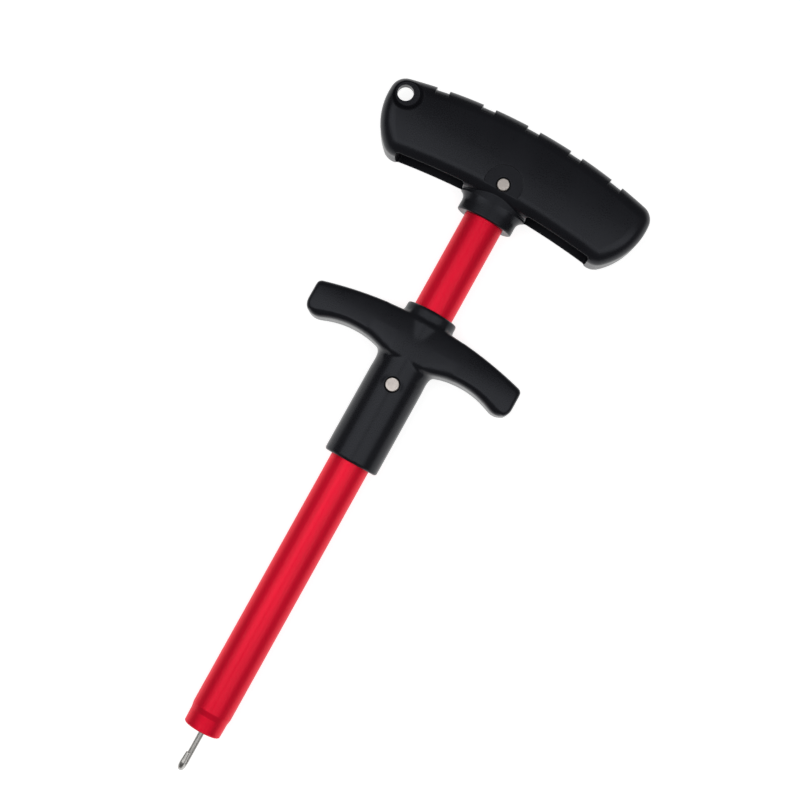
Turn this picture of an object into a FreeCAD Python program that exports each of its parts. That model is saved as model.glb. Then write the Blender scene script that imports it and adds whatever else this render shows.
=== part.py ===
"""Squeeze-handle fish-hook remover, lying on its back with its front face up.

Design frame, in millimetres: the tube's axis is y, with y = 0 at the tube's mouth and the palm
grip at the far end; x runs along the grip; z = 0 is the tube's axis and +z is the front face.
place() moves each finished piece into the row frame, whose origin is the bottom centre of the
whole tool's box.
"""
import FreeCAD
import Part

import math
import os

# ---- tube ----
TUBE_DIAMETER = 12.7
TUBE_WALL = 1.0
TUBE_LENGTH = 196.15
NOSE_LENGTH = 4.75           # rolled-in end of the tube
NOSE_SHOULDER = 1.75
NOSE_REDUCTION = 0.3         # on the radius, just below the shoulder
MOUTH_REDUCTION = 0.4        # on the radius, at the mouth
MOUTH_ROUND = 0.35

# ---- squeeze mechanism ----
STROKE = 20.0
HANDLE_PIN_DROP = 8.85       # handle pin below the tube's upper end
PIN_SPACING = 69.05          # between the two pins, before squeezing
SLIDER_PIN_DIAMETER = 4.4
SLOT_END_CLEARANCE = 0.1
SLOT_SIDE_CLEARANCE = 0.08
PIN_FIT = 0.02               # pins in the holes that hold them, on the radius
PIN_RECESS = 0.1             # pin ends below the face around them
PIN_MOUTH_GAP = 0.25         # ring-shaped relief around a pin's end, on the radius
PIN_MOUTH_DEPTH = 0.8
PIN_CHAMFER = 0.25

# ---- hook rod ----
WIRE_DIAMETER = 1.8
POINT_DIAMETER = 1.3
ROD_OFFSET = 0.45            # the rod's line, to one side of the tube's axis
HOOK_REACH = 13.3            # lowest point of the bend, below the mouth
HOOK_POINT_DROP = 7.05       # tip of the point, below the mouth
HOOK_CLEARANCE = 0.35        # point leg to the tube's mouth as it is drawn in
HOOK_TURN = 7.0              # degrees that the hook's plane turns out of the front direction
EYE_CLEARANCE = 0.05
EYE_SWEEP = 300.0            # degrees of the eye that the wire covers
EYE_ENTRY_RADIUS = 3.0

# ---- inner pieces ----
PLUNGER_CLEARANCE = 0.1      # on the radius
PLUNGER_TAIL = 6.0           # below the slider pin
PLUNGER_CAP = 2.05           # solid top above the slot for the eye
CLEVIS_CLEARANCE = 0.15      # each side of the eye
CLEVIS_DEPTH_CLEARANCE = 0.4
PRESS_CLEARANCE = 0.02       # bush and plug in the tube, on the radius
GUIDE_LENGTH = 8.0
GUIDE_GAP = 2.0              # from the drawn-in hook to the guide
GUIDE_BORE_CLEARANCE = 0.1
GUIDE_CHAMFER = 0.6
PLUG_TAIL = 8.3              # below the handle pin
PLUG_CHAMFER = 0.5
WASHER_THICKNESS = 0.8
WASHER_BORE = 5.0
WASHER_CLEARANCE = 0.15
SPRING_WIRE = 0.9
SPRING_CLEARANCE = 0.45      # outside of the coils to the tube's wall
SPRING_COILS = 16
SPRING_SEAT_GAP = 0.02

# ---- finger pull ----
PULL_CLEARANCE = 0.15        # on the tube, on the radius
SLEEVE_WALL = 2.35
SLEEVE_COVER = 6.45          # sleeve left below the slider pin's lowest place at full squeeze
SLEEVE_EDGE = 0.5
COLLAR_WALL = 1.8
COLLAR_COVER = 5.4           # collar left above the slider pin's highest place at rest
COLLAR_EDGE = 0.35
ARM_CROWN_DROP = 3.3         # arms' top edge on the axis, below the collar's top
ARM_CROWN_RADIUS = 131.0
ARM_HALF_SPAN = 35.1
ARM_TOP_ROUND = 1.7
ARM_TIP_ROUND = 4.0
FINGER_REST_X = 18.25        # highest point of each hollow under the arms
FINGER_REST_DROP = 12.3      # below the arms' crown, as are the next two
ARM_ROOT_DROP = 14.3
ARM_RIDGE_DROP = 10.7
FINGER_REST_RADIUS = 26.0
ARM_PROUD = 0.15             # arms' face in front of the sleeve at the hub
ARM_SIDE_RADIUS = 225.0      # falls the faces away towards the tips
ARM_RIDGE_RADIUS = 45.0      # falls the faces away from the ridge
ARM_EDGE = 1.6               # rounding of the arms' front and back edges

# ---- palm grip ----
GRIP_CROWN_RISE = 11.5       # top of the palm's surface above the tube's upper end
GRIP_BACK_RADIUS = 169.5
GRIP_HALF_LENGTH = 44.6
GRIP_CORNER_RADIUS = 5.0
GRIP_END_RADIUS = 21.0
GRIP_END_RISE = 0.3          # centre of the ends' round above the tube's upper end
GRIP_RIM_DROP = 14.0         # rim below the tube's upper end
GRIP_RIM_RADIUS = 228.0
GRIP_HEEL_RADIUS = 5.0
GRIP_HALF_DEPTH = 9.3
GRIP_FACE_RADIUS = 103.0     # the gentle bulge of the front and back faces
GRIP_FACE_DROP = 3.0         # middle of the bulge below the tube's upper end
GRIP_EDGE = 4.8
GROOVE_COUNT = 5
GROOVE_PITCH = 5.1           # degrees about the back's centre
GROOVE_WIDTH = 4.2
GROOVE_DEPTH = 0.8
GROOVE_REACH = 3.0           # how far a groove comes over the front edge
HOLLOW_END_WALL = 11.3       # from each hollow to the grip's end
HOLLOW_SIDE_WALL = 2.4       # from each hollow to the grip's front and back
HOLLOW_ROOF = 4.0            # from each hollow to the palm's surface
HOLLOW_CORNER = 1.0
NECK_SIDE_WALL = 2.83
NECK_FRONT_WALL = 1.33
NECK_DROP = 6.4              # neck's lower end below the rim
NECK_HEIGHT = 3.0            # below the flare
NECK_EDGE = 0.5
FLARE_RADIUS = 2.6
FLARE_SPREAD = 1.6           # from the neck's side out to the hollow
FLARE_STEPS = 5
GRIP_BORE_CLEARANCE = 0.02
HANDLE_PIN_DIAMETER = 4.0
PIN_FLAT_RADIUS = 6.0        # round flat on the face around the handle pin
PIN_FLAT_DEPTH = 0.5
LANYARD_RADIUS = 2.5
LANYARD_FACE_RADIUS = 3.7    # floor of the shallow round recess in the front face
LANYARD_FACE_SLOPE = 0.85    # how fast that recess widens towards the face
LANYARD_FACE_SHIFT = 0.7     # recess nearer to the grip's middle than the hole
LANYARD_FACE_DEPTH = 2.0     # below the grip's foremost line
LANYARD_WEB = 3.5            # thickness that the hole goes through
LANYARD_POCKET_RADIUS = 5.3  # relief behind that web

# ---- worked out from the above ----
TUBE_RADIUS = TUBE_DIAMETER / 2
TUBE_BORE_RADIUS = TUBE_RADIUS - TUBE_WALL
MOUTH_BORE_RADIUS = TUBE_BORE_RADIUS - MOUTH_REDUCTION
WIRE_RADIUS = WIRE_DIAMETER / 2
POINT_RADIUS = POINT_DIAMETER / 2
SLIDER_PIN_RADIUS = SLIDER_PIN_DIAMETER / 2
HANDLE_PIN_RADIUS = HANDLE_PIN_DIAMETER / 2
HANDLE_PIN_Y = TUBE_LENGTH - HANDLE_PIN_DROP
SLIDER_PIN_Y = HANDLE_PIN_Y - PIN_SPACING
HOOK_DEPTH = MOUTH_BORE_RADIUS + WIRE_RADIUS - HOOK_CLEARANCE
EYE_RADIUS = SLIDER_PIN_RADIUS + EYE_CLEARANCE + WIRE_RADIUS
PLUNGER_BOTTOM = SLIDER_PIN_Y - PLUNGER_TAIL
PLUNGER_SLOT_TOP = SLIDER_PIN_Y + EYE_RADIUS + WIRE_RADIUS + CLEVIS_DEPTH_CLEARANCE
PLUNGER_TOP = PLUNGER_SLOT_TOP + PLUNGER_CAP
PLUG_BOTTOM = HANDLE_PIN_Y - PLUG_TAIL
LOWER_WASHER_Y = PLUNGER_TOP
UPPER_WASHER_Y = PLUG_BOTTOM - WASHER_THICKNESS
SPRING_BOTTOM = LOWER_WASHER_Y + WASHER_THICKNESS
SPRING_TOP = UPPER_WASHER_Y
SLEEVE_RADIUS = TUBE_RADIUS + PULL_CLEARANCE + SLEEVE_WALL
SLEEVE_BOTTOM_Y = SLIDER_PIN_Y - STROKE - SLEEVE_COVER
COLLAR_RADIUS = TUBE_RADIUS + PULL_CLEARANCE + COLLAR_WALL
COLLAR_TOP_Y = SLIDER_PIN_Y + STROKE + COLLAR_COVER
ARM_CROWN_Y = COLLAR_TOP_Y - ARM_CROWN_DROP
ARM_HALF_DEPTH = SLEEVE_RADIUS + ARM_PROUD
GRIP_CROWN_Y = TUBE_LENGTH + GRIP_CROWN_RISE
GRIP_END_Y = TUBE_LENGTH + GRIP_END_RISE
GRIP_RIM_Y = TUBE_LENGTH - GRIP_RIM_DROP
GRIP_FACE_Y = TUBE_LENGTH - GRIP_FACE_DROP
NECK_BOTTOM_Y = GRIP_RIM_Y - NECK_DROP
NECK_HALF_WIDTH = TUBE_RADIUS + GRIP_BORE_CLEARANCE + NECK_SIDE_WALL
NECK_HALF_DEPTH = TUBE_RADIUS + GRIP_BORE_CLEARANCE + NECK_FRONT_WALL
HOLLOW_START = NECK_HALF_WIDTH + FLARE_SPREAD
HOLLOW_END = GRIP_HALF_LENGTH - HOLLOW_END_WALL
HOLLOW_HALF_WIDTH = GRIP_HALF_DEPTH - HOLLOW_SIDE_WALL
PIN_FLAT_HALF_DEPTH = GRIP_HALF_DEPTH - PIN_FLAT_DEPTH
LANYARD_FACE_Z = GRIP_HALF_DEPTH - LANYARD_FACE_DEPTH
BACK_CENTRE_Y = GRIP_CROWN_Y - GRIP_BACK_RADIUS
LAND_TOP_Y = BACK_CENTRE_Y + math.sqrt(GRIP_BACK_RADIUS**2 - (GROOVE_WIDTH / 2) ** 2)
MIDDLE_Y = (LAND_TOP_Y - HOOK_REACH) / 2
FAR = 400.0                  # longer than the tool, for cutting solids

ALONG = FreeCAD.Vector(0, 1, 0)
ACROSS = FreeCAD.Vector(1, 0, 0)
FRONT = FreeCAD.Vector(0, 0, 1)


def point(x, y, z=0.0):
    return FreeCAD.Vector(x, y, z)


def place(shape):
    """The same shape in the row frame."""
    placed = shape.copy()
    placed.translate(point(0, -MIDDLE_Y, GRIP_HALF_DEPTH))
    return placed


def save(name, shape):
    place(shape).exportStep("parts/" + name + ".step")


# ---- small helpers ----

def rod_along(radius, bottom, top, x=0.0, z=0.0):
    """A round bar parallel to the tube, between two heights."""
    return Part.makeCylinder(radius, top - bottom, point(x, bottom, z), ALONG)


def rod_through(radius, half_depth, x, y):
    """A round bar from back to front."""
    return Part.makeCylinder(radius, 2 * half_depth, point(x, y, -half_depth), FRONT)


def block(x, y, half_depth):
    """A box between two x values, two y values and both faces."""
    size = (x[1] - x[0], y[1] - y[0], 2 * half_depth)
    return Part.makeBox(size[0], size[1], size[2], point(x[0], y[0], -half_depth))


def mirrored(shape):
    """The same shape on the other side of the tube."""
    return shape.mirror(point(0, 0), ACROSS)


def turned_back(shape):
    """The same shape on the back face."""
    return shape.mirror(point(0, 0), FRONT)


def arc(centre, radius, start, end):
    """The shorter arc about a centre, from the direction of one point to that of another."""
    towards_start = (start - centre).normalize()
    towards_end = (end - centre).normalize()
    towards_middle = (towards_start + towards_end).normalize()
    first = centre + towards_start * radius
    middle = centre + towards_middle * radius
    last = centre + towards_end * radius
    return Part.Arc(first, middle, last).toShape()


def meeting(centre_a, radius_a, centre_b, radius_b, side):
    """Where two circles cross; side 1 is to the left of the way from a to b, -1 to the right."""
    between = centre_b - centre_a
    distance = between.Length
    along = (distance**2 + radius_a**2 - radius_b**2) / (2 * distance)
    off = math.sqrt(radius_a**2 - along**2)
    forward = between.normalize()
    left = point(-forward.y, forward.x)
    return centre_a + forward * along + left * (off * side)


def flipped(place_on_right):
    return point(-place_on_right.x, place_on_right.y)


def edges_where(shape, chosen):
    """The edges of a shape whose middle passes a test on its point."""
    found = []
    for edge in shape.Edges:
        middle = edge.valueAt((edge.FirstParameter + edge.LastParameter) / 2)
        if chosen(middle):
            found.append(edge)
    return found


def rims_at(shape, y):
    """The edges that lie all round a shape at one height."""
    return edges_where(shape, lambda middle: abs(middle.y - y) < 1e-6)


def round_edges(shape):
    return [edge for edge in shape.Edges if edge.Curve.TypeId == "Part::GeomCircle"]


def revolved(points):
    """A ring turned about the tube's axis from a closed outline of (radius, y) corners."""
    corners = [point(radius, y) for radius, y in points]
    wire = Part.makePolygon(corners + corners[:1])
    return Part.Face(wire).revolve(point(0, 0), ALONG, 360)


def pin_mouths(radius, half_depth, y):
    """The shallow relief around both ends of a pin."""
    outer = rod_through(radius + PIN_MOUTH_GAP, half_depth + PIN_MOUTH_DEPTH, 0, y)
    return outer.cut(rod_through(radius + PIN_MOUTH_GAP, half_depth - PIN_MOUTH_DEPTH, 0, y))


# ---- tube ----

def outer_tube():
    nose_radius = TUBE_RADIUS - NOSE_REDUCTION
    mouth_radius = TUBE_RADIUS - MOUTH_REDUCTION
    shoulder_y = NOSE_LENGTH + NOSE_SHOULDER
    tube = revolved([
        (MOUTH_BORE_RADIUS, 0),
        (mouth_radius - MOUTH_ROUND, 0),
        (mouth_radius, MOUTH_ROUND),
        (nose_radius, NOSE_LENGTH),
        (TUBE_RADIUS, shoulder_y),
        (TUBE_RADIUS, TUBE_LENGTH),
        (TUBE_BORE_RADIUS, TUBE_LENGTH),
        (TUBE_BORE_RADIUS, shoulder_y),
        (nose_radius - TUBE_WALL, NOSE_LENGTH),
    ])
    slot_half_width = SLIDER_PIN_RADIUS + SLOT_SIDE_CLEARANCE
    run = SLIDER_PIN_RADIUS + SLOT_END_CLEARANCE - slot_half_width
    slot_low = SLIDER_PIN_Y - run
    slot_high = SLIDER_PIN_Y + STROKE + run
    slot = block((-slot_half_width, slot_half_width), (slot_low, slot_high), TUBE_DIAMETER)
    slot = slot.fuse([
        rod_through(slot_half_width, TUBE_DIAMETER, 0, slot_low),
        rod_through(slot_half_width, TUBE_DIAMETER, 0, slot_high),
    ])
    pin_hole = rod_through(HANDLE_PIN_RADIUS + PIN_FIT, TUBE_DIAMETER, 0, HANDLE_PIN_Y)
    return tube.cut([slot, pin_hole])


def pin(radius, half_length, y):
    bar = rod_through(radius, half_length, 0, y)
    return bar.makeChamfer(PIN_CHAMFER, round_edges(bar))


# ---- inner pieces ----

def hook_path():
    """The wire's centre line: the eye, its entry bend, the long leg and the hook's bend."""
    eye = point(0, SLIDER_PIN_Y)
    entry_x = ROD_OFFSET + EYE_ENTRY_RADIUS
    entry_drop = math.sqrt((EYE_RADIUS + EYE_ENTRY_RADIUS) ** 2 - entry_x**2)
    entry = point(entry_x, SLIDER_PIN_Y - entry_drop)
    leaving = math.degrees(math.atan2(entry.y - eye.y, entry.x - eye.x))
    closing = math.radians(leaving + EYE_SWEEP)
    halfway = math.radians(leaving + EYE_SWEEP / 2)
    eye_end = eye + point(math.cos(closing), math.sin(closing)) * EYE_RADIUS
    eye_top = eye + point(math.cos(halfway), math.sin(halfway)) * EYE_RADIUS
    eye_start = eye + (entry - eye).normalize() * EYE_RADIUS
    eye_loop = Part.Arc(eye_end, eye_top, eye_start).toShape()
    leg_top = point(ROD_OFFSET, entry.y)
    entry_bend = arc(entry, EYE_ENTRY_RADIUS, eye_start, leg_top)

    bend_radius = (HOOK_DEPTH - WIRE_RADIUS - POINT_RADIUS) / 2
    bend_y = -HOOK_REACH + WIRE_RADIUS + bend_radius
    turn = math.radians(HOOK_TURN)
    outward = point(-math.sin(turn), 0, math.cos(turn))
    leg_end = point(ROD_OFFSET, bend_y)
    lowest = leg_end + outward * bend_radius - ALONG * bend_radius
    point_leg = leg_end + outward * (2 * bend_radius)
    leg = Part.LineSegment(leg_top, leg_end).toShape()
    bend = Part.Arc(leg_end, lowest, point_leg).toShape()
    return [eye_loop, entry_bend, leg, bend], eye_end, point_leg


def hook_rod():
    edges, start, point_leg = hook_path()
    first = edges[0]
    heading = first.tangentAt(first.FirstParameter)
    ring = Part.Wire(Part.Circle(start, heading, WIRE_RADIUS).toShape())
    wire = Part.Wire(edges).makePipeShell([ring], True, True)
    point_length = -HOOK_POINT_DROP - point_leg.y
    tip = Part.makeCone(WIRE_RADIUS, POINT_RADIUS, point_length, point_leg, ALONG)
    return wire.fuse(tip).removeSplitter()


def plunger():
    body = rod_along(TUBE_BORE_RADIUS - PLUNGER_CLEARANCE, PLUNGER_BOTTOM, PLUNGER_TOP)
    slot_half_depth = WIRE_RADIUS + CLEVIS_CLEARANCE
    slot = block((-TUBE_RADIUS, TUBE_RADIUS), (PLUNGER_BOTTOM, PLUNGER_SLOT_TOP), slot_half_depth)
    pin_hole = rod_through(SLIDER_PIN_RADIUS + PIN_FIT, TUBE_RADIUS, 0, SLIDER_PIN_Y)
    return body.cut([slot, pin_hole])


def rod_guide():
    bottom = STROKE - HOOK_POINT_DROP + GUIDE_GAP
    bore = WIRE_RADIUS + GUIDE_BORE_CLEARANCE
    body = rod_along(TUBE_BORE_RADIUS - PRESS_CLEARANCE, bottom, bottom + GUIDE_LENGTH)
    body = body.makeChamfer(GUIDE_CHAMFER, round_edges(body))
    return body.cut(rod_along(bore, bottom - 1, bottom + GUIDE_LENGTH + 1, ROD_OFFSET))


def tube_plug():
    body = rod_along(TUBE_BORE_RADIUS - PRESS_CLEARANCE, PLUG_BOTTOM, TUBE_LENGTH)
    body = body.makeChamfer(PLUG_CHAMFER, round_edges(body))
    return body.cut(rod_through(HANDLE_PIN_RADIUS + PIN_FIT, TUBE_RADIUS, 0, HANDLE_PIN_Y))


def spring_washer(bottom):
    top = bottom + WASHER_THICKNESS
    disc = rod_along(TUBE_BORE_RADIUS - WASHER_CLEARANCE, bottom, top)
    return disc.cut(rod_along(WASHER_BORE / 2, bottom - 1, top + 1))


def return_spring():
    low = SPRING_BOTTOM + SPRING_SEAT_GAP + SPRING_WIRE / 2
    height = SPRING_TOP - SPRING_SEAT_GAP - SPRING_WIRE / 2 - low
    coil_radius = TUBE_BORE_RADIUS - SPRING_CLEARANCE - SPRING_WIRE / 2
    helix = Part.makeHelix(height / SPRING_COILS, height, coil_radius)
    edge = helix.Edges[0]
    start = edge.valueAt(edge.FirstParameter)
    ring = Part.Wire(Part.Circle(start, edge.tangentAt(edge.FirstParameter), SPRING_WIRE / 2).toShape())
    coils = helix.makePipeShell([ring], True, True)
    coils.rotate(point(0, 0), ACROSS, -90)
    coils.translate(point(0, low))
    return coils


# ---- finger pull ----

def arm_outline():
    """The arms seen from the front, as one face."""
    crown = point(0, ARM_CROWN_Y - ARM_CROWN_RADIUS)
    rest = point(FINGER_REST_X, ARM_CROWN_Y - FINGER_REST_DROP - FINGER_REST_RADIUS)
    corner_x = ARM_HALF_SPAN - ARM_TOP_ROUND
    inner = ARM_CROWN_RADIUS - ARM_TOP_ROUND
    corner = point(corner_x, crown.y + math.sqrt(inner**2 - corner_x**2))
    tip_x = ARM_HALF_SPAN - ARM_TIP_ROUND
    outer = FINGER_REST_RADIUS + ARM_TIP_ROUND
    tip = point(tip_x, rest.y + math.sqrt(outer**2 - (tip_x - rest.x) ** 2))
    root_y = ARM_CROWN_Y - ARM_ROOT_DROP
    root = point(rest.x - math.sqrt(FINGER_REST_RADIUS**2 - (root_y - rest.y) ** 2), root_y)

    crown_end = crown + (corner - crown).normalize() * ARM_CROWN_RADIUS
    side_top = corner + ACROSS * ARM_TOP_ROUND
    side_low = tip + ACROSS * ARM_TIP_ROUND
    tip_end = tip + (rest - tip).normalize() * ARM_TIP_ROUND
    right = [
        arc(corner, ARM_TOP_ROUND, crown_end, side_top),
        Part.LineSegment(side_top, side_low).toShape(),
        arc(tip, ARM_TIP_ROUND, side_low, tip_end),
        arc(rest, FINGER_REST_RADIUS, tip_end, root),
    ]
    left = [mirrored(edge) for edge in right]
    top = arc(crown, ARM_CROWN_RADIUS, flipped(crown_end), crown_end)
    bottom = Part.LineSegment(root, flipped(root)).toShape()
    return Part.Face(Part.Wire(Part.__sortEdges__([top, bottom] + right + left)))


def arm_front():
    """Everything behind the arms' crowned front face."""
    ring_radius = ARM_SIDE_RADIUS - ARM_RIDGE_RADIUS
    ridge_y = ARM_CROWN_Y - ARM_RIDGE_DROP
    centre = point(0, ridge_y, ARM_HALF_DEPTH - ARM_SIDE_RADIUS)
    return Part.makeTorus(ring_radius, ARM_RIDGE_RADIUS, centre, ALONG)


def arms():
    outline = arm_outline()
    outline.translate(point(0, 0, -ARM_HALF_DEPTH - 1))
    prism = outline.extrude(FRONT * (2 * ARM_HALF_DEPTH + 2))
    body = prism.common(arm_front()).common(turned_back(arm_front()))
    shallow = ARM_HALF_DEPTH / 2
    rims = edges_where(body, lambda middle: abs(middle.z) > shallow)
    return body.makeFillet(ARM_EDGE, rims)


def slider_handle():
    body = arms()
    sleeve = rod_along(SLEEVE_RADIUS, SLEEVE_BOTTOM_Y, ARM_CROWN_Y - 1)
    sleeve = sleeve.makeFillet(SLEEVE_EDGE, rims_at(sleeve, SLEEVE_BOTTOM_Y))
    collar = rod_along(COLLAR_RADIUS, ARM_CROWN_Y - 2, COLLAR_TOP_Y)
    collar = collar.makeFillet(COLLAR_EDGE, rims_at(collar, COLLAR_TOP_Y))
    body = body.fuse([sleeve, collar])
    bore = rod_along(TUBE_RADIUS + PULL_CLEARANCE, SLEEVE_BOTTOM_Y - 1, COLLAR_TOP_Y + 1)
    pin_hole = rod_through(SLIDER_PIN_RADIUS + PIN_FIT, SLEEVE_RADIUS + 1, 0, SLIDER_PIN_Y)
    mouths = pin_mouths(SLIDER_PIN_RADIUS, SLEEVE_RADIUS, SLIDER_PIN_Y)
    return body.cut([bore, pin_hole, mouths])


# ---- palm grip ----

def grip_outline():
    """The grip seen from the front, as one wire, and the centre of its upper corner's round."""
    back = point(0, BACK_CENTRE_Y)
    end = point(GRIP_HALF_LENGTH - GRIP_END_RADIUS, GRIP_END_Y)
    rim = point(0, GRIP_RIM_Y - GRIP_RIM_RADIUS)
    corner = meeting(
        back, GRIP_BACK_RADIUS - GRIP_CORNER_RADIUS, end, GRIP_END_RADIUS - GRIP_CORNER_RADIUS, -1
    )
    heel = meeting(
        rim, GRIP_RIM_RADIUS + GRIP_HEEL_RADIUS, end, GRIP_END_RADIUS - GRIP_HEEL_RADIUS, -1
    )
    back_end = back + (corner - back).normalize() * GRIP_BACK_RADIUS
    end_top = end + (corner - end).normalize() * GRIP_END_RADIUS
    end_low = end + (heel - end).normalize() * GRIP_END_RADIUS
    rim_end = rim + (heel - rim).normalize() * GRIP_RIM_RADIUS
    right = [
        arc(corner, GRIP_CORNER_RADIUS, back_end, end_top),
        arc(end, GRIP_END_RADIUS, end_top, end_low),
        arc(heel, GRIP_HEEL_RADIUS, end_low, rim_end),
    ]
    left = [mirrored(edge) for edge in right]
    top = arc(back, GRIP_BACK_RADIUS, flipped(back_end), back_end)
    bottom = arc(rim, GRIP_RIM_RADIUS, flipped(rim_end), rim_end)
    return Part.Wire(Part.__sortEdges__([top, bottom] + right + left)), corner


def grip_blank(inset):
    """The grip's outer form, rounded all round, with every surface set in by the same amount."""
    outline, _ = grip_outline()
    if inset > 0:
        outline = outline.makeOffset2D(-inset)
    half_depth = GRIP_HALF_DEPTH - inset
    face = Part.Face(outline)
    face.translate(point(0, 0, -half_depth - 1))
    prism = face.extrude(FRONT * (2 * half_depth + 2))
    centre = point(-FAR / 2, GRIP_FACE_Y, GRIP_HALF_DEPTH - GRIP_FACE_RADIUS)
    front = Part.makeCylinder(GRIP_FACE_RADIUS - inset, FAR, centre, ACROSS)
    body = prism.common(front).common(turned_back(front))
    shallow = half_depth / 2
    rims = edges_where(body, lambda middle: abs(middle.z) > shallow)
    return body.makeFillet(GRIP_EDGE - inset, rims)


def palm_grooves():
    """The cutters for the grooves over the palm's surface."""
    inner = GRIP_BACK_RADIUS - GROOVE_REACH
    boxes = []
    for number in range(GROOVE_COUNT):
        step = number - (GROOVE_COUNT - 1) / 2
        half_width = GROOVE_WIDTH / 2
        low = BACK_CENTRE_Y + inner
        bar = block((-half_width, half_width), (low, low + 2 * GROOVE_REACH), GRIP_HALF_DEPTH + 1)
        bar.rotate(point(0, BACK_CENTRE_Y), FRONT, -step * GROOVE_PITCH)
        boxes.append(bar)
    return Part.makeCompound(boxes).cut(grip_blank(GROOVE_DEPTH))


def grip_hollow():
    """The hollow under one arm of the grip, open towards the tube's mouth."""
    low = GRIP_RIM_Y - GRIP_HALF_DEPTH
    hollow = block((HOLLOW_START, HOLLOW_END), (low, GRIP_CROWN_Y), HOLLOW_HALF_WIDTH)
    corners = [edge for edge in hollow.Edges if abs(edge.tangentAt(0).y) > 0.9]
    hollow = hollow.makeFillet(HOLLOW_CORNER, corners)
    roof = rod_through(GRIP_BACK_RADIUS - HOLLOW_ROOF, HOLLOW_HALF_WIDTH, 0, BACK_CENTRE_Y)
    return hollow.common(roof)


def neck_section(half_width, y):
    oval = Part.Ellipse(point(0, 0), half_width, NECK_HALF_DEPTH).toShape()
    wire = Part.Wire(oval)
    wire.rotate(point(0, 0), ACROSS, 90)
    wire.translate(point(0, y))
    return wire


def grip_neck():
    """The oval neck that the tube enters by, and its flare up to the hollows."""
    flare_low = NECK_BOTTOM_Y + NECK_HEIGHT
    straight = Part.Face(neck_section(NECK_HALF_WIDTH, NECK_BOTTOM_Y)).extrude(ALONG * NECK_HEIGHT)
    straight = straight.makeFillet(NECK_EDGE, rims_at(straight, NECK_BOTTOM_Y))
    turn = math.acos(1 - FLARE_SPREAD / FLARE_RADIUS)
    sections = []
    for step in range(FLARE_STEPS + 1):
        angle = turn * step / FLARE_STEPS
        half_width = NECK_HALF_WIDTH + FLARE_RADIUS * (1 - math.cos(angle))
        sections.append(neck_section(half_width, flare_low + FLARE_RADIUS * math.sin(angle)))
    flare = Part.makeLoft(sections, True, False)
    flare_top = flare_low + FLARE_RADIUS * math.sin(turn)
    root_height = GRIP_RIM_Y + GRIP_EDGE - flare_top
    root = Part.Face(sections[-1]).extrude(ALONG * root_height)
    return straight.fuse([flare, root])


def grip_handle():
    _, corner = grip_outline()
    lanyard = flipped(corner)
    body = grip_blank(0).cut(palm_grooves())
    body = body.fuse(grip_neck())
    hollow = grip_hollow()
    bore = rod_along(TUBE_RADIUS + GRIP_BORE_CLEARANCE, NECK_BOTTOM_Y - 1, TUBE_LENGTH)
    pin_hole = rod_through(HANDLE_PIN_RADIUS + PIN_FIT, GRIP_HALF_DEPTH + 1, 0, HANDLE_PIN_Y)
    mouths = pin_mouths(HANDLE_PIN_RADIUS, PIN_FLAT_HALF_DEPTH, HANDLE_PIN_Y)
    depth = GRIP_HALF_DEPTH + 1
    flats = rod_through(PIN_FLAT_RADIUS, depth, 0, HANDLE_PIN_Y)
    flats = flats.cut(rod_through(PIN_FLAT_RADIUS, PIN_FLAT_HALF_DEPTH, 0, HANDLE_PIN_Y))
    hole = rod_through(LANYARD_RADIUS, depth, lanyard.x, lanyard.y)
    floor = point(lanyard.x + LANYARD_FACE_SHIFT, lanyard.y, LANYARD_FACE_Z)
    face_radius = LANYARD_FACE_RADIUS + LANYARD_FACE_SLOPE * depth
    recess = Part.makeCone(LANYARD_FACE_RADIUS, face_radius, depth, floor, FRONT)
    behind = point(lanyard.x, lanyard.y, LANYARD_FACE_Z - LANYARD_WEB)
    pocket = Part.makeCylinder(LANYARD_POCKET_RADIUS, 2 * depth, behind, FRONT * -1)
    return body.cut([hollow, mirrored(hollow), bore, pin_hole, mouths, flats, hole, recess, pocket])


def main():
    os.makedirs("parts", exist_ok=True)
    save("outer_tube", outer_tube())
    save("grip_handle", grip_handle())
    save("handle_pin", pin(HANDLE_PIN_RADIUS, PIN_FLAT_HALF_DEPTH - PIN_RECESS, HANDLE_PIN_Y))
    save("tube_plug", tube_plug())
    save("rod_guide", rod_guide())
    save("spring_washer_upper", spring_washer(UPPER_WASHER_Y))
    save("return_spring", return_spring())
    save("spring_washer_lower", spring_washer(LOWER_WASHER_Y))
    save("plunger", plunger())
    save("hook_rod", hook_rod())
    save("slider_pin", pin(SLIDER_PIN_RADIUS, SLEEVE_RADIUS - PIN_RECESS, SLIDER_PIN_Y))
    save("slider_handle", slider_handle())


main()
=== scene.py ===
"""Looks of a squeeze-handle fish-hook remover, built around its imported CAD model.

The finger pull is reworked from its CAD shape with the soft blends that moulded plastic has, the
return spring is wound anew, and every piece gets its own procedural finish.
"""

import math

import bmesh
import bpy
from bpy.props import (
    BoolProperty,
    FloatProperty,
    FloatVectorProperty,
    IntProperty,
    PointerProperty,
)
from mathutils import Matrix, Vector


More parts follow.
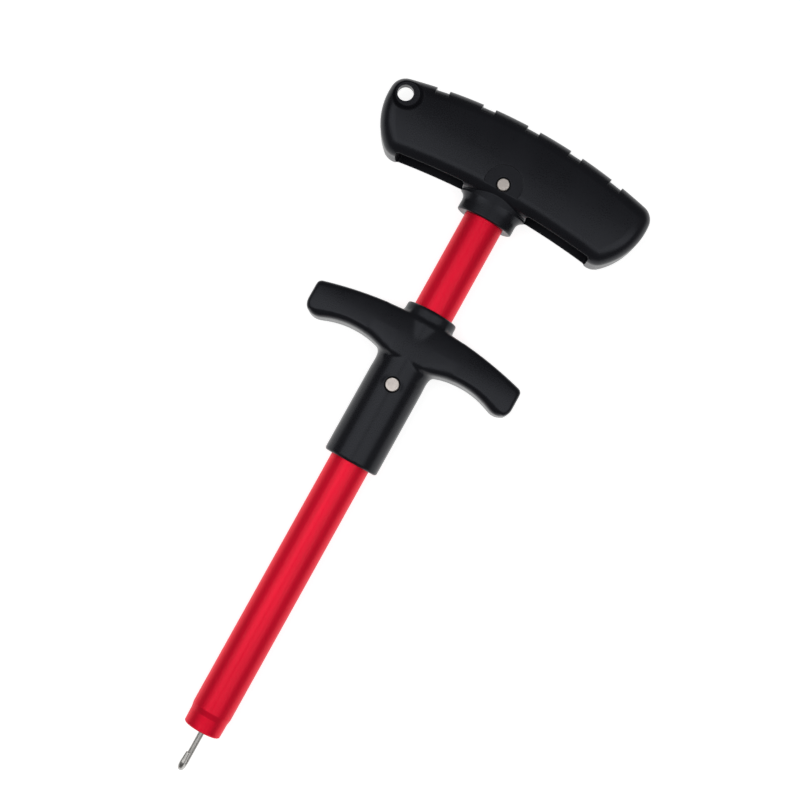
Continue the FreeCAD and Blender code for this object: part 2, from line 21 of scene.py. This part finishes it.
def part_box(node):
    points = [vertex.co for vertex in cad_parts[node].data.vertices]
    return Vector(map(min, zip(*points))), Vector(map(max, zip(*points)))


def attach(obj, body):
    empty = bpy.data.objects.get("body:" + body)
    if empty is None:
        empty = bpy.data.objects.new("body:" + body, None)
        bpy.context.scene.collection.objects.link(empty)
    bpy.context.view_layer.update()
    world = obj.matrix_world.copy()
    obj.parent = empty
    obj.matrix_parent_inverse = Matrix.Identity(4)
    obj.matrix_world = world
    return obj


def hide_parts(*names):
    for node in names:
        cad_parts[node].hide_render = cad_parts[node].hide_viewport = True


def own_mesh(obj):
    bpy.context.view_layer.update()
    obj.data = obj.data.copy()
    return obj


bl_info = {
    "name": "Fish-Hook Remover Parts",
    "version": (1, 0, 0),
    "blender": (4, 5, 0),
    "location": "View3D > Sidebar > Hook Remover",
    "description": "Finishes, finger pull, return spring and stage of a fish-hook remover",
    "category": "Object",
}

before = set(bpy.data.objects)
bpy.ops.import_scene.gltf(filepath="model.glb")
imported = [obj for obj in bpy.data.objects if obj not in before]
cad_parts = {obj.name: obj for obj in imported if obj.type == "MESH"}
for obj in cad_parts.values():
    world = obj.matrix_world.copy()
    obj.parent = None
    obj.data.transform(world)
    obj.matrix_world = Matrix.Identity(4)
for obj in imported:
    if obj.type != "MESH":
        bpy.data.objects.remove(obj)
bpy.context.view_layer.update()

MM = 0.001

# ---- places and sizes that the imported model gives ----
TUBE_LOW, TUBE_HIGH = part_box("outer_tube")
TUBE_RADIUS = (TUBE_HIGH.x - TUBE_LOW.x) / 2
TUBE_AXIS_Z = (TUBE_LOW.z + TUBE_HIGH.z) / 2
PULL_LOW, PULL_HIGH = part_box("slider_handle")
SLIDER_PIN_LOW, SLIDER_PIN_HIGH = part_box("slider_pin")

AXIS = Vector((0, 0, TUBE_AXIS_Z))
ALONG = Vector((0, 1, 0))
FRONT = Vector((0, 0, 1))

# ---- steps and limits of the mesh work ----
WELD = 1e-6                      # points closer than this are joined, in metres
SLIVER = 5e-6                    # faces thinner than this are merged away, in metres
ROUND_SIDES = 96                 # sides of a rod and of a turned cutter
BORE_SIDES = 160                 # sides of the finger pull's bore
CUT_PAST = 2 * MM                # how far a cutter stands past each end of its hole
BORE_FILL = 0.8 * MM             # how far the rod that fills the bore is over the tube's radius
PIN_FILL = 0.5 * MM              # how far the rod that fills the pin hole is over the pin's radius
PULL_CREASE = 38                 # edges of the finger pull sharper than this stay crisp, in degrees
SPRING_CREASE = 50               # the same for the spring
WIRE_SIDES = 14                  # sides of the spring's wire
TURN_STEPS = 28                  # steps in one turn of the spring
CLOSED_PITCH = 1.02              # rise of a closed turn, in wire diameters

# ---- the finger pull's soft places ----
COLLAR_END = PULL_HIGH.y
SOFT_LINE = COLLAR_END - 14.0 * MM    # the arms are softened below a drooping line, this high at its top
SOFT_TOP = 18 * MM                    # from the tube's middle out to the top of that line
SOFT_START = 12 * MM                  # from the tube's middle out to where that line starts
SOFT_DROOP = 14                       # how strongly that line bends down, per metre
ARM_ROOT = COLLAR_END - 17.6 * MM     # the arms' undersides run into the sleeve about here


def middle(low, high):
    """The point halfway between two."""
    return (low + high) / 2


# ---- settings ----

class MouldingSettings(bpy.types.PropertyGroup):
    """The black plastic, and the finger pull's skin, bore and pin hole."""

    voxel: FloatProperty(
        name="Skin Step", description="Mesh step of the finger pull's remade skin",
        default=0.42 * MM, unit="LENGTH", subtype="DISTANCE")
    pull_fit: FloatProperty(
        name="Pull Fit", description="Gap between the tube and the finger pull, on the radius",
        default=0.15 * MM, unit="LENGTH", subtype="DISTANCE")
    pin_fit: FloatProperty(
        name="Pin Fit", description="Gap between a pin and its hole, on the radius",
        default=0.02 * MM, unit="LENGTH", subtype="DISTANCE")
    mouth_gap: FloatProperty(
        name="Mouth Gap", description="Width of the ring-shaped relief around a pin's end",
        default=0.25 * MM, unit="LENGTH", subtype="DISTANCE")
    mouth_depth: FloatProperty(
        name="Mouth Depth", description="Depth of that relief",
        default=0.8 * MM, unit="LENGTH", subtype="DISTANCE")
    colour: FloatVectorProperty(
        name="Plastic", description="Colour of the black plastic",
        default=(0.0082, 0.0084, 0.0108), size=3, min=0, max=1, subtype="COLOR")
    roughness: FloatProperty(
        name="Roughness", description="Mean roughness of the plastic", default=0.29, min=0, max=1)
    specular: FloatProperty(
        name="Sheen Level", description="Specular level of the plastic", default=0.26, min=0, max=1)
    edge: FloatProperty(
        name="Edge Round", description="Small rounding that the shading gives to moulded edges",
        default=0.3 * MM, unit="LENGTH", subtype="DISTANCE")


class TubeSettings(bpy.types.PropertyGroup):
    """The anodised tube."""

    colour: FloatVectorProperty(
        name="Anodised Red", description="Colour of the dyed oxide",
        default=(0.88, 0.0045, 0.036), size=3, min=0, max=1, subtype="COLOR")
    roughness: FloatProperty(
        name="Roughness", description="Roughness of the metal under the oxide",
        default=0.54, min=0, max=1)
    coat: FloatProperty(
        name="Oxide Gloss", description="Weight of the clear sealed surface",
        default=0.15, min=0, max=1)


class MetalSettings(bpy.types.PropertyGroup):
    """Pins, washers, spring and wire."""

    pin_colour: FloatVectorProperty(
        name="Pin Steel", description="Colour of the cut pins",
        default=(0.54, 0.495, 0.465), size=3, min=0, max=1, subtype="COLOR")
    wire_colour: FloatVectorProperty(
        name="Wire", description="Colour of the stainless wire",
        default=(0.46, 0.45, 0.43), size=3, min=0, max=1, subtype="COLOR")
    spring_colour: FloatVectorProperty(
        name="Spring Steel", description="Colour of the spring wire",
        default=(0.36, 0.36, 0.37), size=3, min=0, max=1, subtype="COLOR")
    washer_colour: FloatVectorProperty(
        name="Washer Steel", description="Colour of the stamped washers",
        default=(0.50, 0.50, 0.51), size=3, min=0, max=1, subtype="COLOR")


class SpringSettings(bpy.types.PropertyGroup):
    """The return spring."""

    wire: FloatProperty(
        name="Wire", description="Diameter of the spring wire",
        default=0.9 * MM, unit="LENGTH", subtype="DISTANCE")
    room: FloatProperty(
        name="Room", description="Gap between the coils and the tube's bore",
        default=0.45 * MM, unit="LENGTH", subtype="DISTANCE")
    tube_wall: FloatProperty(
        name="Tube Wall", description="Wall of the tube around the spring",
        default=1.0 * MM, unit="LENGTH", subtype="DISTANCE")
    open_coils: IntProperty(
        name="Open Coils", description="Coils between the two closed ends", default=14, min=4)
    closed_turns: FloatProperty(
        name="Closed Turns", description="Turns laid side by side at each end", default=1.25, min=0.5)


class StageSettings(bpy.types.PropertyGroup):
    """Floor, lights and camera."""

    floor_colour: FloatVectorProperty(
        name="Floor", description="Colour of the pale floor",
        default=(0.55, 0.55, 0.55), size=3, min=0, max=1, subtype="COLOR")
    floor_size: FloatProperty(
        name="Floor Size", description="Side of the square floor",
        default=6.0, unit="LENGTH", subtype="DISTANCE")
    floor_glow: FloatProperty(
        name="Floor Glow", description="How far the floor is lit from below", default=0.80, min=0)
    glow_reach: FloatProperty(
        name="Glow Reach", description="How far from the tool the floor's glow starts to fade",
        default=0.17, unit="LENGTH", subtype="DISTANCE")
    glow_left: FloatProperty(
        name="Glow Left", description="Share of the glow that is left far out", default=0.1, min=0, max=1)
    light_power: FloatProperty(
        name="Light Power", description="Power of each wide overhead panel", default=2.3, min=0,
        unit="POWER")
    room_light: FloatProperty(
        name="Room Light", description="Strength of the even room light", default=0.14, min=0)
    eye: FloatVectorProperty(
        name="Camera Place", description="Where the camera stands",
        default=(0.01863, -0.00602, 0.5043), size=3, unit="LENGTH", subtype="TRANSLATION")
    aim: FloatVectorProperty(
        name="Camera Aim", description="The point at the middle of the picture",
        default=(0.00404, 0.01858, 0.0093), size=3, unit="LENGTH", subtype="TRANSLATION")
    upward: FloatVectorProperty(
        name="Camera Up", description="The direction that is upright in the picture",
        default=(-0.4852, 0.8744, 0.0), size=3, subtype="DIRECTION")
    lens: FloatProperty(
        name="Lens", description="Focal length in millimetres", default=73.3, min=1)
    show_floor: BoolProperty(
        name="Show Floor", description="Lay the pale floor under the tool", default=True)


# ---- mesh helpers ----

def new_piece(name, shape):
    """An object at the origin with the bmesh as its mesh."""
    mesh = bpy.data.meshes.new(name)
    shape.to_mesh(mesh)
    shape.free()
    piece = bpy.data.objects.new(name, mesh)
    bpy.context.scene.collection.objects.link(piece)
    return piece


def apply_modifiers(piece):
    """Makes what the modifiers show the piece's own mesh."""
    bpy.context.view_layer.update()
    evaluated = piece.evaluated_get(bpy.context.evaluated_depsgraph_get())
    mesh = bpy.data.meshes.new_from_object(evaluated)
    mesh.name = piece.name
    piece.modifiers.clear()
    piece.data = mesh


def welded_copy(node):
    """The CAD node's shape as one joined skin."""
    shape = bmesh.new()
    shape.from_mesh(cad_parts[node].data)
    bmesh.ops.remove_doubles(shape, verts=shape.verts, dist=WELD)
    return shape


def add_rod(shape, start, end, radius, sides=ROUND_SIDES):
    """Adds a closed round bar between two points."""
    run = end - start
    turn = run.to_track_quat("Z", "Y").to_matrix().to_4x4()
    bmesh.ops.create_cone(
        shape, cap_ends=True, cap_tris=False, segments=sides, radius1=radius, radius2=radius,
        depth=run.length, matrix=Matrix.Translation(middle(start, end)) @ turn)


def add_turned(shape, centre, axis, outline):
    """Adds a closed body turned about an axis from (radius, height) corners, first and last on it."""
    turn = axis.to_track_quat("Z", "Y").to_matrix()
    corners = [
        shape.verts.new(centre + turn @ Vector((radius, 0, height)))
        for radius, height in outline]
    edges = [shape.edges.new(pair) for pair in zip(corners, corners[1:])]
    bmesh.ops.spin(
        shape, geom=corners + edges, cent=centre, axis=axis, angle=math.tau, steps=ROUND_SIDES,
        use_merge=True)
    bmesh.ops.remove_doubles(shape, verts=shape.verts, dist=WELD)
    bmesh.ops.recalc_face_normals(shape, faces=shape.faces)


def reskin(piece, voxel):
    """Remakes the skin in even small steps, so that it can be softened."""
    remesh = piece.modifiers.new("skin", "REMESH")
    remesh.mode = "VOXEL"
    remesh.voxel_size = voxel
    remesh.use_smooth_shade = True
    apply_modifiers(piece)


def relax(shape, passes, where):
    """Softens the skin where a test on the point holds."""
    chosen = [vert for vert in shape.verts if where(vert.co)]
    for _ in range(passes):
        bmesh.ops.smooth_vert(
            shape, verts=chosen, factor=0.5, use_axis_x=True, use_axis_y=True, use_axis_z=True)


def cut(piece, cutter_shape):
    """Takes one closed body away from the piece, with crisp edges."""
    cutter = new_piece("cutter", cutter_shape)
    knife = piece.modifiers.new("cut", "BOOLEAN")
    knife.operation = "DIFFERENCE"
    knife.solver = "EXACT"
    knife.object = cutter
    apply_modifiers(piece)
    bpy.data.objects.remove(cutter)


def clear_slivers(piece):
    """Merges the needle-thin faces that the cuts leave."""
    shape = bmesh.new()
    shape.from_mesh(piece.data)
    bmesh.ops.remove_doubles(shape, verts=shape.verts, dist=SLIVER)
    bmesh.ops.dissolve_degenerate(shape, edges=shape.edges, dist=SLIVER)
    bmesh.ops.triangulate(shape, faces=[face for face in shape.faces if len(face.verts) > 4])
    shape.to_mesh(piece.data)
    shape.free()


def smooth_between(piece, degrees):
    """Smooth shading, with the edges sharper than the angle kept crisp."""
    for face in piece.data.polygons:
        face.use_smooth = True
    piece.data.set_sharp_from_angle(angle=math.radians(degrees))


def pin_hole(centre, radius, half_depth, settings):
    """The cutter for a pin's hole and the ring-shaped relief at both of its ends."""
    shape = bmesh.new()
    hole = radius + settings.pin_fit
    mouth = radius + settings.mouth_gap
    relief = half_depth - settings.mouth_depth
    over = half_depth + CUT_PAST
    add_turned(shape, centre, FRONT, [
        (0, -over), (mouth, -over), (mouth, -relief), (hole, -relief),
        (hole, relief), (mouth, relief), (mouth, over), (0, over)])
    return shape


# ---- materials ----

PLASTIC = "satin_black_plastic"
SPRING_WIRE = "drawn_spring_wire"
COOL_SHEEN = (0.86, 0.90, 1.0, 1)
ACETAL_DARK = (0.76, 0.75, 0.70)
ACETAL_LIGHT = (0.84, 0.83, 0.79)
NOISE_LOW = 0.3                  # most of a noise lies between these two
NOISE_HIGH = 0.7


def new_material(name):
    """A node material, its Principled shader and its Object coordinates."""
    material = bpy.data.materials.new(name)
    material.use_nodes = True
    nodes = material.node_tree.nodes
    links = material.node_tree.links
    shader = nodes["Principled BSDF"]
    coordinates = nodes.new("ShaderNodeTexCoord")
    return material, nodes, links, shader, coordinates.outputs["Object"]


def noise(nodes, links, vector, scale, detail):
    """A noise of the same scale every way."""
    texture = nodes.new("ShaderNodeTexNoise")
    texture.inputs["Scale"].default_value = scale
    texture.inputs["Detail"].default_value = detail
    links.new(vector, texture.inputs["Vector"])
    return texture.outputs["Fac"]


def drawn_noise(nodes, links, vector, scales, detail):
    """A noise with its own scale along x, y and z, so that it can run in streaks."""
    mapping = nodes.new("ShaderNodeMapping")
    mapping.inputs["Scale"].default_value = scales
    links.new(vector, mapping.inputs["Vector"])
    return noise(nodes, links, mapping.outputs["Vector"], 1.0, detail)


def spread(nodes, links, value, low, high):
    """A noise value stretched to run between two numbers."""
    ranged = nodes.new("ShaderNodeMapRange")
    ranged.inputs["From Min"].default_value = NOISE_LOW
    ranged.inputs["From Max"].default_value = NOISE_HIGH
    ranged.inputs["To Min"].default_value = low
    ranged.inputs["To Max"].default_value = high
    links.new(value, ranged.inputs["Value"])
    return ranged.outputs["Result"]


def faded(nodes, links, value, start, end, before, after):
    """One number before the start, another after the end, and a soft change between."""
    fade = nodes.new("ShaderNodeMapRange")
    fade.interpolation_type = "SMOOTHSTEP"
    fade.inputs["From Min"].default_value = start
    fade.inputs["From Max"].default_value = end
    fade.inputs["To Min"].default_value = before
    fade.inputs["To Max"].default_value = after
    links.new(value, fade.inputs["Value"])
    return fade.outputs["Result"]


def math_node(nodes, links, operation, first, second=None):
    """One step of arithmetic on one or two values, each a number or a socket."""
    step = nodes.new("ShaderNodeMath")
    step.operation = operation
    for socket, value in zip(step.inputs, (first, second)):
        if isinstance(value, (int, float)):
            socket.default_value = value
        elif value is not None:
            links.new(value, socket)
    return step.outputs["Value"]


def drifting_colour(nodes, links, shader, drift, dark, light):
    """Lets the base colour drift between two colours with a noise."""
    mix = nodes.new("ShaderNodeMix")
    mix.data_type = "RGBA"
    mix.inputs["A"].default_value = (*dark, 1)
    mix.inputs["B"].default_value = (*light, 1)
    links.new(spread(nodes, links, drift, 0, 1), mix.inputs["Factor"])
    links.new(mix.outputs["Result"], shader.inputs["Base Color"])


def bump(nodes, links, shader, height, distance, strength, before=None):
    """Adds a height to the shader's normal, on top of an earlier one where there is one."""
    relief = nodes.new("ShaderNodeBump")
    relief.inputs["Strength"].default_value = strength
    relief.inputs["Distance"].default_value = distance
    links.new(height, relief.inputs["Height"])
    if before is not None:
        links.new(before, relief.inputs["Normal"])
    links.new(relief.outputs["Normal"], shader.inputs["Normal"])
    return relief.outputs["Normal"]


def tinted(colour, share):
    """A colour made darker or lighter."""
    return tuple(min(1.0, channel * share) for channel in colour)


def black_plastic(settings):
    """Satin black moulding: fine spark texture, faint flow marks and a parting line at mid-depth."""
    material, nodes, links, shader, place = new_material(PLASTIC)
    flow = drawn_noise(nodes, links, place, scales=(70, 35, 70), detail=4.0)
    grain = noise(nodes, links, place, scale=2600.0, detail=3.0)
    drifting_colour(
        nodes, links, shader, flow, dark=tinted(settings.colour, 0.88), light=tinted(settings.colour, 1.14))
    worn = math_node(
        nodes, links, "ADD", spread(nodes, links, flow, -0.035, 0.035),
        spread(nodes, links, grain, -0.03, 0.03))
    links.new(math_node(nodes, links, "ADD", worn, settings.roughness), shader.inputs["Roughness"])
    shader.inputs["Specular IOR Level"].default_value = settings.specular
    shader.inputs["Specular Tint"].default_value = COOL_SHEEN
    edge = nodes.new("ShaderNodeBevel")
    edge.samples = 8
    edge.inputs["Radius"].default_value = settings.edge
    textured = bump(
        nodes, links, shader, grain, distance=0.012 * MM, strength=0.55, before=edge.outputs["Normal"])

    split = nodes.new("ShaderNodeSeparateXYZ")
    links.new(place, split.inputs["Vector"])
    above = math_node(nodes, links, "SUBTRACT", split.outputs["Z"], TUBE_AXIS_Z)
    off = math_node(nodes, links, "ABSOLUTE", above)
    line = faded(nodes, links, off, start=0.05 * MM, end=0.16 * MM, before=1.0, after=0.0)
    bump(nodes, links, shader, line, distance=0.04 * MM, strength=0.8, before=textured)
    return material


def anodised_red(settings):
    """Drawn aluminium, dyed red and sealed: lengthwise drawing lines under a thin gloss."""
    material, nodes, links, shader, place = new_material("dyed_red_oxide")
    lines = drawn_noise(nodes, links, place, scales=(2400, 14, 2400), detail=3.0)
    clouds = drawn_noise(nodes, links, place, scales=(130, 24, 130), detail=3.0)
    drifting_colour(
        nodes, links, shader, clouds, dark=tinted(settings.colour, 0.94), light=tinted(settings.colour, 1.06))
    shader.inputs["Metallic"].default_value = 0.9
    uneven = spread(nodes, links, lines, settings.roughness - 0.05, settings.roughness + 0.05)
    links.new(uneven, shader.inputs["Roughness"])
    shader.inputs["Coat Weight"].default_value = settings.coat
    shader.inputs["Coat Roughness"].default_value = 0.16
    bump(nodes, links, shader, lines, distance=0.004 * MM, strength=0.5)
    return material


def plain_steel(name, colour, roughness, streak_scales, relief):
    """Bare metal, with fine streaks where one scale is lower than the others."""
    material, nodes, links, shader, place = new_material(name)
    streaks = drawn_noise(nodes, links, place, streak_scales, detail=3.0)
    clouds = noise(nodes, links, place, scale=420.0, detail=3.0)
    drifting_colour(nodes, links, shader, clouds, dark=tinted(colour, 0.86), light=tinted(colour, 1.10))
    shader.inputs["Metallic"].default_value = 1.0
    uneven = spread(nodes, links, streaks, roughness - 0.08, roughness + 0.08)
    links.new(uneven, shader.inputs["Roughness"])
    bump(nodes, links, shader, streaks, relief, strength=0.6)
    return material


def natural_acetal():
    """Turned off-white acetal: fine rings from the lathe."""
    material, nodes, links, shader, place = new_material("turned_acetal")
    rings = drawn_noise(nodes, links, place, scales=(120, 5200, 120), detail=2.0)
    clouds = noise(nodes, links, place, scale=160.0, detail=2.0)
    drifting_colour(nodes, links, shader, clouds, dark=ACETAL_DARK, light=ACETAL_LIGHT)
    links.new(spread(nodes, links, rings, 0.30, 0.42), shader.inputs["Roughness"])
    bump(nodes, links, shader, rings, distance=0.008 * MM, strength=0.6)
    return material


def dress(piece, material):
    """Gives a new piece its only finish."""
    piece.data.materials.clear()
    piece.data.materials.append(material)


def dress_node(node, material):
    """Gives a CAD node its finish without touching its mesh."""
    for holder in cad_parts[node].material_slots:
        holder.material = material


# ---- pieces ----

def everywhere(_):
    """All of the finger pull."""
    return True


def beside_tube(point, low, high, near, far):
    """Whether a point lies between two places along the tube, and so far out on either side."""
    return low < point.y < high and near < abs(point.x) < far


def under_arms(point):
    """The arms' undersides, below a line that droops as the arms do."""
    out = abs(point.x)
    return out > SOFT_START and point.y < SOFT_LINE - (out - SOFT_TOP) ** 2 * SOFT_DROOP


def at_arm_roots(point):
    """The blends where the arms' undersides run into the sleeve."""
    return beside_tube(point, low=ARM_ROOT - 5 * MM, high=ARM_ROOT + 7 * MM, near=6 * MM, far=15 * MM)


def at_shoulders(point):
    """The blends where the arms' upper sides run into the collar."""
    return beside_tube(
        point, low=SOFT_LINE + 4 * MM, high=COLLAR_END - 2 * MM, near=5 * MM, far=13 * MM)


# each row: passes of softening, and where they work
SOFTENING = (
    (3, everywhere),
    (40, under_arms),
    (60, at_arm_roots),
    (16, at_shoulders),
)


class HOOKREMOVER_OT_finger_pull(bpy.types.Operator):
    """Makes the finger pull: arms blended into the sleeve, then crisp bore and pin hole"""

    bl_idname = "hook_remover.finger_pull"
    bl_label = "Finger Pull"

    def execute(self, context):
        settings = context.scene.hook_remover_moulding
        shape = welded_copy("slider_handle")
        pin = middle(SLIDER_PIN_LOW, SLIDER_PIN_HIGH)
        pin_radius = (SLIDER_PIN_HIGH.x - SLIDER_PIN_LOW.x) / 2
        bottom = Vector((0, PULL_LOW.y, TUBE_AXIS_Z))
        top = Vector((0, PULL_HIGH.y, TUBE_AXIS_Z))
        half_depth = SLIDER_PIN_HIGH.z - TUBE_AXIS_Z
        add_rod(shape, bottom, top, TUBE_RADIUS + BORE_FILL)
        add_rod(shape, pin - FRONT * half_depth, pin + FRONT * half_depth, pin_radius + PIN_FILL)
        pull = new_piece("finger_pull", shape)
        reskin(pull, settings.voxel)

        soft = bmesh.new()
        soft.from_mesh(pull.data)
        for passes, where in SOFTENING:
            relax(soft, passes, where)
        soft.to_mesh(pull.data)
        soft.free()

        bore = bmesh.new()
        add_rod(
            bore, bottom - ALONG * CUT_PAST, top + ALONG * CUT_PAST, TUBE_RADIUS + settings.pull_fit,
            BORE_SIDES)
        cut(pull, bore)
        cut(pull, pin_hole(pin, pin_radius, half_depth, settings))
        clear_slivers(pull)
        smooth_between(pull, PULL_CREASE)
        dress(pull, bpy.data.materials[PLASTIC])
        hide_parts("slider_handle")
        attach(pull, "slider")
        return {"FINISHED"}


class HOOKREMOVER_OT_return_spring(bpy.types.Operator):
    """Winds the return spring, with closed ends, between its two washers"""

    bl_idname = "hook_remover.return_spring"
    bl_label = "Return Spring"

    def execute(self, context):
        settings = context.scene.hook_remover_spring
        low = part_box("spring_washer_lower")[1].y
        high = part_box("spring_washer_upper")[0].y
        coil = TUBE_RADIUS - settings.tube_wall - settings.room - settings.wire / 2
        start = Vector((coil, low + settings.wire / 2, TUBE_AXIS_Z))
        shape = bmesh.new()
        ring = bmesh.ops.create_circle(
            shape, cap_ends=True, segments=WIRE_SIDES, radius=settings.wire / 2,
            matrix=Matrix.Translation(start))
        live = list({face for vert in ring["verts"] for face in vert.link_faces})
        closed_rise = settings.wire * CLOSED_PITCH
        height = high - low - settings.wire
        open_rise = (height - 2 * settings.closed_turns * closed_rise) / settings.open_coils
        for turns, rise in (
                (settings.closed_turns, closed_rise),
                (settings.open_coils, open_rise),
                (settings.closed_turns, closed_rise)):
            steps = round(turns * TURN_STEPS)
            made = bmesh.ops.spin(
                shape, geom=live, cent=AXIS, axis=ALONG, dvec=ALONG * (rise * turns / steps),
                angle=math.tau * turns, steps=steps, use_merge=False)
            live = made["geom_last"]
        bmesh.ops.remove_doubles(shape, verts=shape.verts, dist=WELD)
        bmesh.ops.recalc_face_normals(shape, faces=shape.faces)
        spring = new_piece("wound_spring", shape)
        smooth_between(spring, SPRING_CREASE)
        dress(spring, bpy.data.materials[SPRING_WIRE])
        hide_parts("return_spring")
        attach(spring, "frame")
        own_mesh(spring)
        return {"FINISHED"}


class HOOKREMOVER_OT_finishes(bpy.types.Operator):
    """Makes every finish, and dresses the pieces that keep their CAD shapes"""

    bl_idname = "hook_remover.finishes"
    bl_label = "Finishes"

    def execute(self, context):
        metal = context.scene.hook_remover_metal
        dress_node("grip_handle", black_plastic(context.scene.hook_remover_moulding))
        plain_steel(
            SPRING_WIRE, metal.spring_colour, roughness=0.32,
            streak_scales=(900, 900, 900), relief=0.003 * MM)
        dress_node("outer_tube", anodised_red(context.scene.hook_remover_tube))
        cut_steel = plain_steel(
            "cut_pin_ends", metal.pin_colour, roughness=0.42,
            streak_scales=(2600, 300, 200), relief=0.012 * MM)
        wire = plain_steel(
            "hook_wire", metal.wire_colour, roughness=0.34,
            streak_scales=(2200, 90, 2200), relief=0.006 * MM)
        stamped = plain_steel(
            "stamped_washers", metal.washer_colour, roughness=0.36,
            streak_scales=(700, 700, 700), relief=0.004 * MM)
        acetal = natural_acetal()
        dress_node("handle_pin", cut_steel)
        dress_node("slider_pin", cut_steel)
        dress_node("hook_rod", wire)
        dress_node("spring_washer_lower", stamped)
        dress_node("spring_washer_upper", stamped)
        for node in ("plunger", "tube_plug", "rod_guide"):
            dress_node(node, acetal)
        return {"FINISHED"}


# ---- stage ----

PANEL_GAP = 0.03                 # from the tool's middle to the near edge of each panel, in metres
PANEL_HEIGHT = 0.80

# each row: name, width, depth, how far its middle is towards the grip, share of the light power
PANELS = (
    ("wide_panel", 1.05, 0.50, -0.02, 1.0),
    ("bright_strip", 0.55, 0.20, -0.09, 0.22),
)


def lay_floor(settings):
    """A pale floor that glows evenly under the tool and fades far out."""
    shape = bmesh.new()
    bmesh.ops.create_grid(shape, x_segments=8, y_segments=8, size=settings.floor_size / 2)
    floor = new_piece("floor", shape)
    material, nodes, links, shader, place = new_material("pale_floor")
    haze = noise(nodes, links, place, scale=1.5, detail=2.0)
    drifting_colour(
        nodes, links, shader, haze, dark=tinted(settings.floor_colour, 0.995),
        light=tinted(settings.floor_colour, 1.0))
    shader.inputs["Roughness"].default_value = 0.9
    shader.inputs["Specular IOR Level"].default_value = 0.1
    shader.inputs["Emission Color"].default_value = (1, 1, 1, 1)
    away = nodes.new("ShaderNodeVectorMath")
    away.operation = "LENGTH"
    links.new(place, away.inputs["Vector"])
    glow = faded(
        nodes, links, away.outputs["Value"], start=settings.glow_reach, end=2 * settings.glow_reach,
        before=settings.floor_glow, after=settings.floor_glow * settings.glow_left)
    links.new(glow, shader.inputs["Emission Strength"])
    dress(floor, material)


def light_room(scene, strength):
    """An even white light from all sides."""
    world = bpy.data.worlds.new("soft_room")
    world.use_nodes = True
    background = world.node_tree.nodes["Background"]
    background.inputs["Color"].default_value = (1.0, 1.0, 1.0, 1)
    background.inputs["Strength"].default_value = strength
    scene.world = world


def hang_panel(name, place, size, power):
    """A flat soft light that looks straight down."""
    light = bpy.data.lights.new(name, "AREA")
    light.shape = "RECTANGLE"
    light.size = size[0]
    light.size_y = size[1]
    light.energy = power
    lamp = bpy.data.objects.new(name, light)
    lamp.location = place
    bpy.context.scene.collection.objects.link(lamp)


def set_up_camera(scene, settings):
    """The camera, turned to its aim with the upward direction upright."""
    camera = bpy.data.cameras.new("camera")
    camera.lens = settings.lens
    viewer = bpy.data.objects.new("camera", camera)
    eye = Vector(settings.eye)
    ahead = (Vector(settings.aim) - eye).normalized()
    right = ahead.cross(Vector(settings.upward)).normalized()
    up = right.cross(ahead)
    turn = Matrix((right, up, -ahead)).transposed().to_4x4()
    viewer.matrix_world = Matrix.Translation(eye) @ turn
    scene.collection.objects.link(viewer)
    scene.camera = viewer


class HOOKREMOVER_OT_stage(bpy.types.Operator):
    """Lays the pale floor and sets up the soft light and the camera"""

    bl_idname = "hook_remover.stage"
    bl_label = "Stage"

    def execute(self, context):
        settings = context.scene.hook_remover_stage
        scene = context.scene
        scene.view_settings.view_transform = "Standard"
        if settings.show_floor:
            lay_floor(settings)
        light_room(scene, settings.room_light)
        for name, width, depth, towards_grip, share in PANELS:
            across = PANEL_GAP + width / 2
            power = settings.light_power * share
            hang_panel(name + "_left", (-across, towards_grip, PANEL_HEIGHT), (width, depth), power)
            hang_panel(name + "_right", (across, towards_grip, PANEL_HEIGHT), (width, depth), power)
        set_up_camera(scene, settings)
        return {"FINISHED"}


class HOOKREMOVER_PT_panel(bpy.types.Panel):
    """Lists the sizes, the colours and the makers of the pieces"""

    bl_idname = "HOOKREMOVER_PT_panel"
    bl_label = "Hook Remover"
    bl_space_type = "VIEW_3D"
    bl_region_type = "UI"
    bl_category = "Hook Remover"

    def draw(self, context):
        layout = self.layout
        for holder, settings in SETTINGS:
            box = layout.box()
            group = getattr(context.scene, holder)
            for name in settings.__annotations__:
                box.prop(group, name)
        for operator in OPERATORS:
            layout.operator(operator.bl_idname)


SETTINGS = (
    ("hook_remover_moulding", MouldingSettings),
    ("hook_remover_tube", TubeSettings),
    ("hook_remover_metal", MetalSettings),
    ("hook_remover_spring", SpringSettings),
    ("hook_remover_stage", StageSettings),
)
OPERATORS = (
    HOOKREMOVER_OT_finishes,
    HOOKREMOVER_OT_finger_pull,
    HOOKREMOVER_OT_return_spring,
    HOOKREMOVER_OT_stage,
)


def register():
    for holder, settings in SETTINGS:
        bpy.utils.register_class(settings)
        setattr(bpy.types.Scene, holder, PointerProperty(type=settings))
    for operator in OPERATORS:
        bpy.utils.register_class(operator)
    bpy.utils.register_class(HOOKREMOVER_PT_panel)


def unregister():
    bpy.utils.unregister_class(HOOKREMOVER_PT_panel)
    for operator in reversed(OPERATORS):
        bpy.utils.unregister_class(operator)
    for holder, settings in reversed(SETTINGS):
        delattr(bpy.types.Scene, holder)
        bpy.utils.unregister_class(settings)


def main():
    register()
    bpy.ops.hook_remover.finishes()
    bpy.ops.hook_remover.finger_pull()
    bpy.ops.hook_remover.return_spring()
    bpy.ops.hook_remover.stage()


if __name__ == "__main__":
    main()
